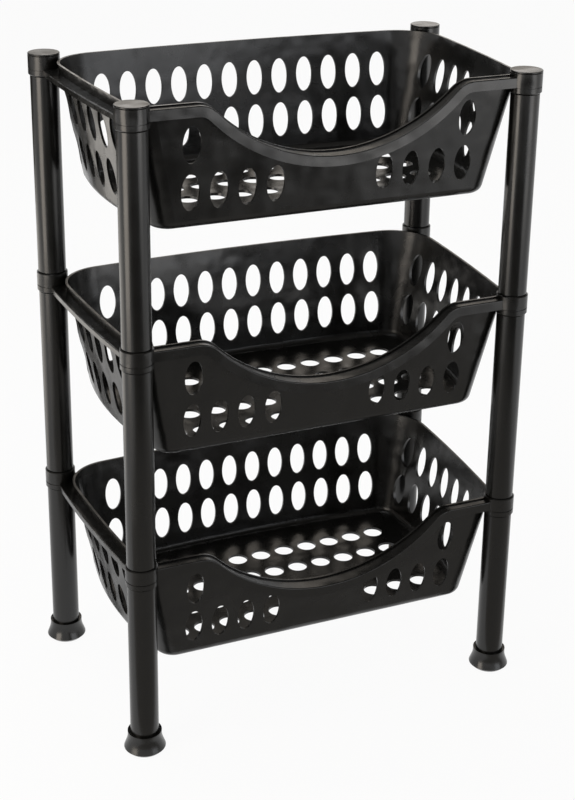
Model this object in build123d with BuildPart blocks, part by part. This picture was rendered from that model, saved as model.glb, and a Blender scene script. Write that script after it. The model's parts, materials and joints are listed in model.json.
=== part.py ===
"""Three-tier plastic rack for fruit and vegetables.

Three moulded baskets hang between four posts. Each post is a leg, a middle and an upper tube.
Every tube above the leg has a necked spigot that drops through a basket collar into the tube
below, a flared foot closes the leg, and a plug cap closes the top collar. Millimetres, +Z up,
the front faces -Y, and the origin is on the floor in the middle of the posts.
"""
import os
from math import atan2, cos, hypot

from build123d import *

# Post layout, measured between the axes
post_span_front = 375.0
post_span_back = 401.0
post_depth = 220.0

# Tubes
tube_od = 27.0
tube_wall = 2.5
tube_edge = 0.8
spigot_wall = 2.0
spigot_reach = 25.0
spigot_lead = 1.2
fit_clearance = 0.3

# Tier heights, to the top of the collars
bottom_tier_height = 197.0
tier_pitch = 214.0

# Collars at the basket corners
collar_od = 30.0
collar_height = 19.5
collar_edge = 0.9
groove_share = 0.7
groove_width = 0.9
groove_depth = 0.6

# Basket shell, with the insets from the post axes to the outer wall at the lip
basket_depth = 118.0
lip_drop = 3.0
basket_wall = 2.2
basket_floor = 2.4
side_inset = 2.0
front_inset = 2.0
back_inset = 0.0
side_lean = 28.0
front_lean = 14.0
back_lean = 13.0
side_bow = 3.0
side_floor_bow = 13.0
back_bow = 9.0
front_corner_radius = 20.0
back_corner_radius = 45.0
back_floor_corner_radius = 20.0
floor_radius = 9.0

# Rim, a ledge with a hanging skirt, low at the sides and the back and close under the lip at the front
rim_reach = 5.0
ledge_drop = 9.5
skirt_depth = 5.5
front_rim_reach = 6.5
front_ledge_drop = 1.2
front_skirt_depth = 9.5
ledge_thickness = 2.0
skirt_wall = 2.2
rim_edge = 1.0

# Scoop in the front wall
scoop_radius = 158.0
scoop_depth = 55.0
scoop_shoulder = 25.0

# Oval wall holes and round floor holes
hole_pitch = 26.5
hole_width = 17.0
hole_height = 34.0
upper_row_drop = 40.5
row_pitch = 43.5
corner_margin = 8.5
scoop_margin = 4.3
floor_hole = 20.0
floor_row_pitch = 36.5
floor_side_margin = 13.0
floor_end_margin = 18.0

# Caps
cap_thickness = 1.2
cap_chamfer = 0.5
plug_wall = 2.0

# Feet
foot_height = 20.0
foot_od = 39.6
foot_rim_od = 32.4
foot_rim_height = 3.2
foot_base = 3.0
foot_edge = 3.0
foot_flare = 0.35

# Derived sizes
half_front = post_span_front / 2
half_back = post_span_back / 2
half_depth = post_depth / 2
side_angle = atan2(half_back - half_front, post_depth)
tube_id = tube_od - 2 * tube_wall
spigot_od = tube_id - 2 * fit_clearance
spigot_length = collar_height + spigot_reach
tier_heights = [bottom_tier_height + i * tier_pitch for i in range(3)]
tier_names = ("bottom", "middle", "top")
corners = {
    "front_left": (-half_front, -half_depth),
    "front_right": (half_front, -half_depth),
    "rear_left": (-half_back, half_depth),
    "rear_right": (half_back, half_depth),
}
cap_od = collar_od
lip_z = -lip_drop
ledge_z = lip_z - ledge_drop
floor_z = basket_floor - basket_depth
row_z = (-upper_row_drop, -upper_row_drop - row_pitch)
scoop_centre_z = lip_z - scoop_depth + scoop_radius

# Cuts run past what they cut, and edges are picked within a tolerance
overrun = 30.0
tolerance = 0.01

os.makedirs("parts", exist_ok=True)


def lean_at(z):
    """Share of the walls' lean at a height below the lip."""
    return (lip_z - z) / (basket_depth - lip_drop)


def side_x(y, inset):
    """Half width at a depth, for an inset from the line between the post axes."""
    along = (y + half_depth) / post_depth
    return half_front + along * (half_back - half_front) - inset / cos(side_angle)


def front_y(z):
    return -half_depth + front_inset + front_lean * lean_at(z)


def back_y(z):
    return half_depth - back_inset - back_lean * lean_at(z)


def wall_inset(z):
    return side_inset + side_lean * lean_at(z)


def wall_bow(z):
    """Bow of the side walls, nearly straight at the lip and fuller towards the floor."""
    return side_bow + (side_floor_bow - side_bow) * lean_at(z)


def outline(z, y0, y1, inset, radius_front, radius_back):
    """Closed plan at a height, straight at the front and bowed at the sides and the back."""
    x0, x1 = side_x(y0, inset), side_x(y1, inset)
    xm, ym = (x0 + x1) / 2 + wall_bow(z), (y0 + y1) / 2
    with BuildSketch(Plane.XY.offset(z)) as plan:
        with BuildLine():
            Line((-x0, y0), (x0, y0))
            ThreePointArc((x0, y0), (xm, ym), (x1, y1))
            ThreePointArc((x1, y1), (0, y1 + back_bow), (-x1, y1))
            ThreePointArc((-x1, y1), (-xm, ym), (-x0, y0))
        make_face()
        if radius_front:
            fillet(plan.vertices().sort_by(Axis.Y)[:2], radius_front)
        if radius_back:
            fillet(plan.vertices().sort_by(Axis.Y)[-2:], radius_back)
    return plan.sketch


def back_radius(z):
    """Radius of the back corners, which tightens towards the floor."""
    return back_corner_radius + (back_floor_corner_radius - back_corner_radius) * lean_at(z)


def shell_section(z, shrink):
    """Plan of the shell at a height, set in by a shrink."""
    return outline(z, front_y(z) + shrink, back_y(z) - shrink, wall_inset(z) + shrink,
                   front_corner_radius - shrink, back_radius(z) - shrink)


def rim_section(grow):
    """Plan of the side and back rim, closed along the front wall."""
    return outline(ledge_z, front_y(ledge_z) + basket_wall, half_depth + grow, -grow, 0, 0)


def below_lip(set_in):
    """Front view of everything below the scooped lip, set in from it."""
    top = lip_z - set_in
    bottom = lip_z - scoop_depth - overrun
    with BuildSketch(mode=Mode.PRIVATE) as region:
        with Locations((0, (top + bottom) / 2)):
            Rectangle(post_span_front, top - bottom)
        with Locations((0, scoop_centre_z)):
            Circle(scoop_radius + set_in, mode=Mode.SUBTRACT)
        shoulders = region.vertices().filter_by_position(Axis.Y, top - tolerance, top + tolerance)
        fillet(shoulders.sort_by(Axis.X)[1:3], scoop_shoulder - set_in)
    return region.sketch


def columns(length):
    """Number of wall holes at the pitch that fit a wall of this length."""
    return int((length - 2 * corner_margin - hole_width) / hole_pitch) + 1


def spread(count, pitch):
    """Centred positions at a pitch."""
    return [(i - (count - 1) / 2) * pitch for i in range(count)]


def clears_scoop(x, z):
    """True where an oval hole stays below the skirt of the scoop."""
    reach = hypot(x, scoop_centre_z - z)
    own = hypot(hole_width / 2 * x, hole_height / 2 * (scoop_centre_z - z)) / reach
    return reach - own > scoop_radius + front_ledge_drop + front_skirt_depth + scoop_margin


# Outer form of the shell
with BuildPart() as shell_form:
    loft([shell_section(-basket_depth, 0), shell_section(lip_z, 0)], ruled=True)
    fillet(shell_form.faces().sort_by(Axis.Z)[0].edges(), floor_radius)

# Inside of the shell, run past the lip so that it cuts clean
with BuildPart() as cavity_form:
    loft([shell_section(floor_z, basket_wall), shell_section(lip_drop, basket_wall)], ruled=True)
    fillet(cavity_form.faces().sort_by(Axis.Z)[0].edges(), floor_radius - basket_floor)

# Side and back rim
with BuildPart() as rim_form:
    extrude(rim_section(rim_reach), amount=-ledge_thickness)
    with BuildSketch(Plane.XY.offset(ledge_z)):
        add(rim_section(rim_reach))
        add(rim_section(rim_reach - skirt_wall), mode=Mode.SUBTRACT)
    extrude(amount=-skirt_depth)
    ledge_face = rim_form.faces().filter_by(Axis.Z).sort_by(Axis.Z)[-1]
    fillet(ledge_face.edges().sort_by(Axis.Y)[1:], rim_edge)

# Front rim, which follows the scoop and reaches back into the wall behind it
scoop_wall_y = front_y(lip_z - scoop_depth - front_ledge_drop - ledge_thickness) + basket_wall / 2
with BuildPart() as front_rim_form:
    with BuildSketch(Plane.XZ.offset(half_depth + front_rim_reach)):
        add(below_lip(front_ledge_drop))
        add(below_lip(front_ledge_drop + ledge_thickness), mode=Mode.SUBTRACT)
    extrude(amount=-(half_depth + front_rim_reach + scoop_wall_y))
    with BuildSketch(Plane.XZ.offset(half_depth + front_rim_reach)):
        add(below_lip(front_ledge_drop))
        add(below_lip(front_ledge_drop + front_skirt_depth), mode=Mode.SUBTRACT)
    extrude(amount=-skirt_wall)
    rim_radii = (scoop_radius + front_ledge_drop, scoop_shoulder - front_ledge_drop)
    front_edges = front_rim_form.faces().sort_by(Axis.Y)[0].edges()
    rim_arcs = front_edges.filter_by(GeomType.CIRCLE).filter_by(
        lambda e: any(abs(e.radius - r) < tolerance for r in rim_radii))
    rim_lines = front_edges.filter_by(Axis.X).sort_by(Axis.Z)[-2:]
    fillet(rim_arcs + rim_lines, rim_edge)

# Collar with its groove
with BuildPart() as collar_form:
    with BuildSketch(Plane.XZ):
        with Locations((collar_od / 4, -collar_height / 2)):
            Rectangle(collar_od / 2, collar_height)
        with Locations((collar_od / 2, -collar_height * groove_share)):
            Rectangle(2 * groove_depth, groove_width, mode=Mode.SUBTRACT)
    revolve(axis=Axis.Z)
    rim_edges = collar_form.edges().filter_by(GeomType.CIRCLE).sort_by(Axis.Z)
    chamfer([rim_edges[0], rim_edges[-1]], collar_edge)

# One basket, with the top of its collars at zero height
with BuildPart() as basket_form:
    add(shell_form.part)
    add(rim_form.part)
    add(front_rim_form.part)
    add(cavity_form.part, mode=Mode.SUBTRACT)
    # Scoop, whose shoulders cross the lip rather than touch it
    with BuildSketch(Plane.XZ.offset(half_depth + overrun)):
        with Locations((0, lip_z - scoop_depth / 2)):
            Rectangle(post_span_front - 2 * collar_od, scoop_depth + overrun)
        add(below_lip(-tolerance), mode=Mode.SUBTRACT)
    extrude(amount=-2 * overrun, mode=Mode.SUBTRACT)
    # Holes in the back wall
    lowest = row_z[1] - hole_height / 2
    back_columns = columns(2 * side_x(back_y(lowest), wall_inset(lowest)))
    with BuildSketch(Plane.XZ.offset(-half_depth - overrun)):
        with Locations(*[(x, z) for x in spread(back_columns, hole_pitch) for z in row_z]):
            Ellipse(hole_width / 2, hole_height / 2)
    extrude(amount=2 * overrun, mode=Mode.SUBTRACT)
    # Holes in the front wall
    front_columns = columns(2 * side_x(front_y(lowest), wall_inset(lowest)))
    front_holes = [(x, z) for x in spread(front_columns, hole_pitch) for z in row_z]
    with BuildSketch(Plane.XZ.offset(half_depth + overrun)):
        with Locations(*[(x, z) for x, z in front_holes if clears_scoop(x, z)]):
            Ellipse(hole_width / 2, hole_height / 2)
    extrude(amount=-2 * overrun, mode=Mode.SUBTRACT)
    # Holes in the side walls
    side_columns = columns(back_y(lowest) - front_y(lowest))
    with BuildSketch(Plane.YZ):
        with Locations(*[(y, z) for y in spread(side_columns, hole_pitch) for z in row_z]):
            Ellipse(hole_width / 2, hole_height / 2)
    extrude(amount=half_back + overrun, both=True, mode=Mode.SUBTRACT)
    # Holes in the floor
    flat_width = 2 * side_x(front_y(floor_z), wall_inset(floor_z) + floor_side_margin)
    flat_depth = back_y(floor_z) - front_y(floor_z) - 2 * floor_end_margin
    floor_columns = int((flat_width - floor_hole) / hole_pitch) + 1
    floor_rows = int((flat_depth - floor_hole) / floor_row_pitch) + 1
    with BuildSketch(Plane.XY.offset(-basket_depth)):
        with GridLocations(hole_pitch, floor_row_pitch, floor_columns, floor_rows):
            Circle(floor_hole / 2)
    extrude(amount=basket_floor, both=True, mode=Mode.SUBTRACT)
    # Collars and their bores
    with Locations(*[(x, y, 0) for x, y in corners.values()]):
        add(collar_form.part)
    with BuildSketch(Plane.XY):
        with Locations(*corners.values()):
            Circle(tube_id / 2)
    extrude(amount=-collar_height, mode=Mode.SUBTRACT)

for tier, height in zip(tier_names, tier_heights):
    with BuildPart() as basket:
        with Locations((0, 0, height)):
            add(basket_form.part)
    basket.part.label = f"basket_{tier}"
    export_step(basket.part, f"parts/basket_{tier}.step")

# Plain tube of the leg, standing in the foot
leg_length = bottom_tier_height - collar_height - foot_base
with BuildPart() as leg_form:
    with Locations((0, 0, foot_base)):
        Cylinder(tube_od / 2, leg_length, align=(Align.CENTER, Align.CENTER, Align.MIN))
        Cylinder(tube_id / 2, leg_length, align=(Align.CENTER, Align.CENTER, Align.MIN),
                 mode=Mode.SUBTRACT)
    chamfer(leg_form.edges().filter_by(GeomType.CIRCLE).sort_by(SortBy.RADIUS)[-2:], tube_edge)

# Necked tube, with the shoulder at zero height and the spigot below it
post_length = tier_pitch - collar_height
with BuildPart() as post_form:
    with BuildSketch(Plane.XZ):
        with BuildLine():
            Polyline(
                (tube_id / 2, post_length),
                (tube_od / 2 - tube_edge, post_length),
                (tube_od / 2, post_length - tube_edge),
                (tube_od / 2, tube_edge),
                (tube_od / 2 - tube_edge, 0),
                (spigot_od / 2, 0),
                (spigot_od / 2, spigot_lead - spigot_length),
                (spigot_od / 2 - spigot_lead / 2, -spigot_length),
                (spigot_od / 2 - spigot_wall, -spigot_length),
                (spigot_od / 2 - spigot_wall, tube_wall),
                (tube_id / 2, tube_wall + spigot_wall),
                close=True,
            )
        make_face()
    revolve(axis=Axis.Z)

# Cap disc with a hollow plug
with BuildPart() as cap_form:
    with BuildSketch(Plane.XZ):
        with BuildLine():
            Polyline(
                (0, cap_thickness),
                (cap_od / 2 - cap_chamfer, cap_thickness),
                (cap_od / 2, cap_thickness - cap_chamfer),
                (cap_od / 2, 0),
                (spigot_od / 2, 0),
                (spigot_od / 2, spigot_lead - spigot_length),
                (spigot_od / 2 - spigot_lead / 2, -spigot_length),
                (spigot_od / 2 - plug_wall, -spigot_length),
                (spigot_od / 2 - plug_wall, 0),
                (0, 0),
                close=True,
            )
        make_face()
    revolve(axis=Axis.Z)

# Flared foot with a socket for the leg
socket_id = tube_od + 2 * fit_clearance
with BuildPart() as foot_form:
    with BuildSketch(Plane.XZ):
        with BuildLine():
            Polyline(
                (0, foot_base),
                (socket_id / 2, foot_base),
                (socket_id / 2, foot_height),
                (foot_rim_od / 2, foot_height),
                (foot_rim_od / 2, foot_height - foot_rim_height),
            )
            Spline(
                (foot_rim_od / 2, foot_height - foot_rim_height),
                (foot_od / 2, foot_edge),
                tangents=((0, -1), (foot_flare, -1)),
            )
            Polyline((foot_od / 2, foot_edge), (foot_od / 2 - foot_edge, 0), (0, 0), (0, foot_base))
        make_face()
    revolve(axis=Axis.Z)

for place, (x, y) in corners.items():
    with BuildPart() as foot:
        with Locations((x, y, 0)):
            add(foot_form.part)
    foot.part.label = f"foot_{place}"
    export_step(foot.part, f"parts/foot_{place}.step")

    with BuildPart() as leg:
        with Locations((x, y, 0)):
            add(leg_form.part)
    leg.part.label = f"leg_{place}"
    export_step(leg.part, f"parts/leg_{place}.step")

    for tier, height in zip(("middle", "upper"), tier_heights):
        with BuildPart() as post:
            with Locations((x, y, height)):
                add(post_form.part)
        post.part.label = f"{tier}_post_{place}"
        export_step(post.part, f"parts/{tier}_post_{place}.step")

    with BuildPart() as cap:
        with Locations((x, y, tier_heights[2])):
            add(cap_form.part)
    cap.part.label = f"cap_{place}"
    export_step(cap.part, f"parts/cap_{place}.step")
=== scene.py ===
"""Looks of the three-tier fruit rack: black moulded plastic on a pale studio floor."""
import json
from math import radians

import bmesh
import bpy
from mathutils import Matrix, Vector


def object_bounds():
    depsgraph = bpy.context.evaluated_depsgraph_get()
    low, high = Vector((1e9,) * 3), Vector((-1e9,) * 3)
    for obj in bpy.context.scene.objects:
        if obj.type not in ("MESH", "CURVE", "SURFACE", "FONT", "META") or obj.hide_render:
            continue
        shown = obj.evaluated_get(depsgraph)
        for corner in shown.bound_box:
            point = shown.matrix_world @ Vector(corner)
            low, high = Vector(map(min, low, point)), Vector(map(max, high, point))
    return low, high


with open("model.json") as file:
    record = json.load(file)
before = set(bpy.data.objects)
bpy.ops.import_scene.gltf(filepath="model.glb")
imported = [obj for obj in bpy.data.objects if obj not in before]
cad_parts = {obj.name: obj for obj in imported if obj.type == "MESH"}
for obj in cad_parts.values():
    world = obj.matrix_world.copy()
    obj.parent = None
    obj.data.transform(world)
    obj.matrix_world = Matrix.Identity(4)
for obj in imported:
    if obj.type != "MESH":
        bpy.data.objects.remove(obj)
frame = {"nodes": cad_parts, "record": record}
cad_low, cad_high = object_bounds()

# Camera, from the perspective of the posts and the hole rows: metres, degrees and photo pixels
PHOTO_HEIGHT = 800
CAMERA_PLACE = (-0.5916, -1.3505, 0.9455)
CAMERA_YAW = 23.75
CAMERA_PITCH = 20.63
CAMERA_ROLL = 0.80
FOCAL_PIXELS = 1624.3
AXIS_ROW = 300
SENSOR_MM = 36.0

# Black polypropylene: pattern sizes in millimetres, bump heights in metres
PLASTIC_IOR = 1.49
MOTTLE_RANGE = (0.3, 0.7)
BASKET_TONES = ("#0d0d0c", "#121211")
BASKET_ROUGHNESS = (0.2, 0.32)
BASKET_MOTTLE_MM = 40
WAVE_MM, WAVE_STRENGTH, WAVE_HEIGHT = 26, 0.9, 0.0016
# The real mould grain is about 0.2 mm, drawn coarser here so that it shows
GRAIN_MM, GRAIN_STRENGTH, GRAIN_HEIGHT = 1.6, 0.05, 0.0004
TUBE_TONE = "#0f0f0e"
TUBE_ROUGHNESS = (0.2, 0.28)
TUBE_MOTTLE_MM = 50
# Real draw lines are under 1 mm apart, drawn coarser here so that they show
LINE_MM, LINE_STRENGTH, LINE_HEIGHT = 2.5, 0.12, 0.0004
LINE_STRETCH = (1.0, 1.0, 0.02)

# Studio, in metres
PAPER_TONE = "#f6f6f4"
PAPER_ROUGHNESS = 0.9
PAPER_GLOW = 0.95
FLOOR_SIZE = 24.0
FLOOR_GAP = 0.0002
BACKDROP_RADIUS = 11.5
BACKDROP_HEIGHT = 3.2
BACKDROP_SIDES = 96
CARD_HEIGHT = 0.004
PLAIN_WHITE = "#ffffff"
WARM_WHITE = "#fffaf3"
WARM_LAMP = "#fff3e4"
COOL_LAMP = "#f6f9ff"
WORLD_LEVEL = 0.25

# Reflector cards: name, near left corner, far right corner, brightness
CARDS = (
    ("near_grey_card", (-0.7, -0.85), (0.55, -0.14), 0.4),
    ("front_dark_card", (-1.6, -2.6), (0.5, -0.85), 0.08),
    ("front_white_card", (0.78, -4.6), (2.6, -1.5), 2.2),
    ("rear_white_card", (-1.4, 0.3), (-0.5, 1.6), 2.0),
    ("rear_dark_card", (-8.0, 1.6), (-0.3, 10.0), 0.03),
)

# Area lamps: name, place, point aimed at, width, height, watts, tint
LAMPS = (
    ("left_panel", (-1.15, -0.35, 0.45), (-0.1, -0.1, 0.3), 0.6, 0.9, 7.5, WARM_LAMP),
    ("right_panel", (0.95, -1.75, 0.55), (0.0, 0.0, 0.35), 1.1, 1.1, 6, COOL_LAMP),
    ("rear_panel", (0.83, 1.89, 1.12), (0.0, 0.0, 0.35), 1.2, 0.7, 1.8, WARM_LAMP),
    ("top", (-0.2, 0.5, 2.2), (0.0, 0.0, 0.3), 1.3, 1.3, 12, PLAIN_WHITE),
)


def colour(hex_code):
    """Linear colour of an sRGB hex value."""
    channels = [int(hex_code[i:i + 2], 16) / 255 for i in (1, 3, 5)]
    linear = [c / 12.92 if c <= 0.04045 else ((c + 0.055) / 1.055) ** 2.4 for c in channels]
    return linear + [1.0]


def per_mm(size):
    """Texture scale whose features are about this many millimetres wide."""
    return 1000.0 / size


def node(tree, kind, inputs, **settings):
    """Adds a node, sets its properties, and fills or links its inputs."""
    made = tree.nodes.new(kind)
    for name, value in settings.items():
        setattr(made, name, value)
    for name, value in inputs.items():
        if isinstance(value, bpy.types.NodeSocket):
            tree.links.new(value, made.inputs[name])
        else:
            made.inputs[name].default_value = value
    return made


def new_material(name):
    """New node material, its tree and its shader."""
    material = bpy.data.materials.new(name)
    material.use_nodes = True
    tree = material.node_tree
    return material, tree, tree.nodes["Principled BSDF"]


def moulded_polypropylene():
    """Injection-moulded black PP: a semi-gloss skin, slightly wavy, with faint flow mottling
    and fine grain."""
    material, tree, shader = new_material("moulded_polypropylene_black")
    place = node(tree, "ShaderNodeTexCoord", {}).outputs["Object"]
    mottle = node(tree, "ShaderNodeTexNoise", {
        "Vector": place, "Scale": per_mm(BASKET_MOTTLE_MM), "Detail": 4.0})
    waves = node(tree, "ShaderNodeTexNoise", {
        "Vector": place, "Scale": per_mm(WAVE_MM), "Detail": 1.0})
    grain = node(tree, "ShaderNodeTexNoise", {
        "Vector": place, "Scale": per_mm(GRAIN_MM), "Detail": 2.0})
    tone = node(tree, "ShaderNodeMix", {
        "Factor": mottle.outputs["Fac"], "A": colour(BASKET_TONES[0]),
        "B": colour(BASKET_TONES[1])}, data_type="RGBA")
    gloss = node(tree, "ShaderNodeMapRange", {
        "Value": mottle.outputs["Fac"], "From Min": MOTTLE_RANGE[0], "From Max": MOTTLE_RANGE[1],
        "To Min": BASKET_ROUGHNESS[0], "To Max": BASKET_ROUGHNESS[1]})
    skin = node(tree, "ShaderNodeBump", {
        "Height": waves.outputs["Fac"], "Strength": WAVE_STRENGTH, "Distance": WAVE_HEIGHT})
    bump = node(tree, "ShaderNodeBump", {
        "Height": grain.outputs["Fac"], "Strength": GRAIN_STRENGTH, "Distance": GRAIN_HEIGHT,
        "Normal": skin.outputs["Normal"]})
    tree.links.new(tone.outputs["Result"], shader.inputs["Base Color"])
    tree.links.new(gloss.outputs["Result"], shader.inputs["Roughness"])
    tree.links.new(bump.outputs["Normal"], shader.inputs["Normal"])
    shader.inputs["IOR"].default_value = PLASTIC_IOR
    return material


def extruded_tube():
    """Extruded black PP tube: a little glossier than the baskets, with faint draw lines
    along its length."""
    material, tree, shader = new_material("extruded_polypropylene_black")
    place = node(tree, "ShaderNodeTexCoord", {}).outputs["Object"]
    drawn = node(tree, "ShaderNodeMapping", {"Vector": place, "Scale": LINE_STRETCH})
    lines = node(tree, "ShaderNodeTexNoise", {
        "Vector": drawn.outputs["Vector"], "Scale": per_mm(LINE_MM), "Detail": 2.0})
    mottle = node(tree, "ShaderNodeTexNoise", {
        "Vector": place, "Scale": per_mm(TUBE_MOTTLE_MM), "Detail": 3.0})
    gloss = node(tree, "ShaderNodeMapRange", {
        "Value": mottle.outputs["Fac"], "From Min": MOTTLE_RANGE[0], "From Max": MOTTLE_RANGE[1],
        "To Min": TUBE_ROUGHNESS[0], "To Max": TUBE_ROUGHNESS[1]})
    bump = node(tree, "ShaderNodeBump", {
        "Height": lines.outputs["Fac"], "Strength": LINE_STRENGTH, "Distance": LINE_HEIGHT})
    tree.links.new(gloss.outputs["Result"], shader.inputs["Roughness"])
    tree.links.new(bump.outputs["Normal"], shader.inputs["Normal"])
    shader.inputs["Base Color"].default_value = colour(TUBE_TONE)
    shader.inputs["IOR"].default_value = PLASTIC_IOR
    return material


def dress(finishes):
    """Gives each CAD node the finish of its material slot."""
    slots = {part["node"]: part["material_slot"] for part in frame["record"]["subparts"]}
    for name, part in frame["nodes"].items():
        part.data.materials.clear()
        part.data.materials.append(finishes[slots[name]])


def stage_piece(name, shape, material):
    """Links a finished bmesh as a piece of the studio."""
    mesh = bpy.data.meshes.new(name)
    shape.to_mesh(mesh)
    shape.free()
    mesh.materials.append(material)
    piece = bpy.data.objects.new(name, mesh)
    bpy.context.scene.collection.objects.link(piece)
    return piece


def stage_card(name, corner_a, corner_b, height, material):
    """Flat level card, scaled from a one-metre square."""
    card = bmesh.new()
    bmesh.ops.create_grid(card, x_segments=1, y_segments=1, size=0.5)
    size = Vector(corner_b) - Vector(corner_a)
    centre = (Vector(corner_b) + Vector(corner_a)) / 2
    bmesh.ops.scale(card, vec=(size.x, size.y, 1), verts=card.verts)
    bmesh.ops.translate(card, verts=card.verts, vec=(centre.x, centre.y, height))
    return stage_piece(name, card, material)


def studio_paper():
    """Matt white paper, which shows as white to the eye and in gloss and keeps a soft share
    of the shadow."""
    material, tree, shader = new_material("studio_paper")
    shader.inputs["Base Color"].default_value = colour(PAPER_TONE)
    shader.inputs["Roughness"].default_value = PAPER_ROUGHNESS
    shader.inputs["Specular IOR Level"].default_value = 0.0
    path = node(tree, "ShaderNodeLightPath", {}).outputs
    seen = node(tree, "ShaderNodeMath", {
        0: path["Is Camera Ray"], 1: path["Is Glossy Ray"]}, operation="MAXIMUM")
    seen = node(tree, "ShaderNodeMath", {
        0: seen.outputs[0], 1: path["Is Transmission Ray"]}, operation="MAXIMUM")
    share = node(tree, "ShaderNodeMath", {
        0: seen.outputs[0], 1: PAPER_GLOW}, operation="MULTIPLY")
    glow = node(tree, "ShaderNodeEmission", {"Color": colour(PLAIN_WHITE), "Strength": 1.0})
    mix = node(tree, "ShaderNodeMixShader", {
        0: share.outputs[0], 1: shader.outputs[0], 2: glow.outputs[0]})
    tree.links.new(mix.outputs[0], tree.nodes["Material Output"].inputs["Surface"])
    return material


def pale_studio():
    """Floor and low round backdrop of paper."""
    paper = studio_paper()
    half = FLOOR_SIZE / 2
    ground = cad_low.z - FLOOR_GAP
    stage_card("floor", (-half, -half), (half, half), ground, paper)
    ring = bmesh.new()
    bmesh.ops.create_cone(ring, cap_ends=False, segments=BACKDROP_SIDES, radius1=BACKDROP_RADIUS,
                          radius2=BACKDROP_RADIUS, depth=BACKDROP_HEIGHT)
    bmesh.ops.translate(ring, verts=ring.verts, vec=(0, 0, ground + BACKDROP_HEIGHT / 2))
    stage_piece("backdrop", ring, paper)


def reflector(name, corner_a, corner_b, level):
    """Card on the floor that the camera doesn't see, with an even brightness for the gloss."""
    material, tree, _ = new_material(name)
    tone = node(tree, "ShaderNodeEmission", {"Color": colour(WARM_WHITE), "Strength": level})
    tree.links.new(tone.outputs[0], tree.nodes["Material Output"].inputs["Surface"])
    card = stage_card(name, corner_a, corner_b, CARD_HEIGHT, material)
    card.visible_camera = False
    card.visible_diffuse = False
    card.visible_shadow = False


def softbox(name, place, target, width, height, power, tint):
    """Area lamp aimed at a point."""
    lamp = bpy.data.lights.new(name, "AREA")
    lamp.shape = "RECTANGLE"
    lamp.size, lamp.size_y = width, height
    lamp.energy = power
    lamp.color = colour(tint)[:3]
    holder = bpy.data.objects.new(name, lamp)
    holder.location = place
    aim = Vector(target) - Vector(place)
    holder.rotation_euler = aim.to_track_quat("-Z", "Y").to_euler()
    holder.visible_camera = False
    bpy.context.scene.collection.objects.link(holder)


def soft_world():
    """Even, low light from all round."""
    world = bpy.data.worlds.new("studio")
    bpy.context.scene.world = world
    world.use_nodes = True
    background = world.node_tree.nodes["Background"]
    background.inputs["Color"].default_value = colour(WARM_WHITE)
    background.inputs["Strength"].default_value = WORLD_LEVEL


def photo_camera():
    """Camera at the photograph's place and angle."""
    camera = bpy.data.cameras.new("camera")
    camera.sensor_width = SENSOR_MM
    camera.lens = SENSOR_MM * FOCAL_PIXELS / PHOTO_HEIGHT
    camera.shift_y = (AXIS_ROW - PHOTO_HEIGHT / 2) / PHOTO_HEIGHT
    viewer = bpy.data.objects.new("camera", camera)
    viewer.matrix_world = (
        Matrix.Translation(CAMERA_PLACE)
        @ Matrix.Rotation(radians(-CAMERA_YAW), 4, "Z")
        @ Matrix.Rotation(radians(90 - CAMERA_PITCH), 4, "X")
        @ Matrix.Rotation(radians(CAMERA_ROLL), 4, "Z")
    )
    bpy.context.scene.collection.objects.link(viewer)
    bpy.context.scene.camera = viewer


moulded = moulded_polypropylene()
extruded = extruded_tube()
dress({"basket": moulded, "tube": extruded, "foot": moulded, "cap": moulded})

pale_studio()
for card_row in CARDS:
    reflector(*card_row)
for lamp_row in LAMPS:
    softbox(*lamp_row)
soft_world()
photo_camera()
bpy.context.scene.view_settings.view_transform = "Standard"
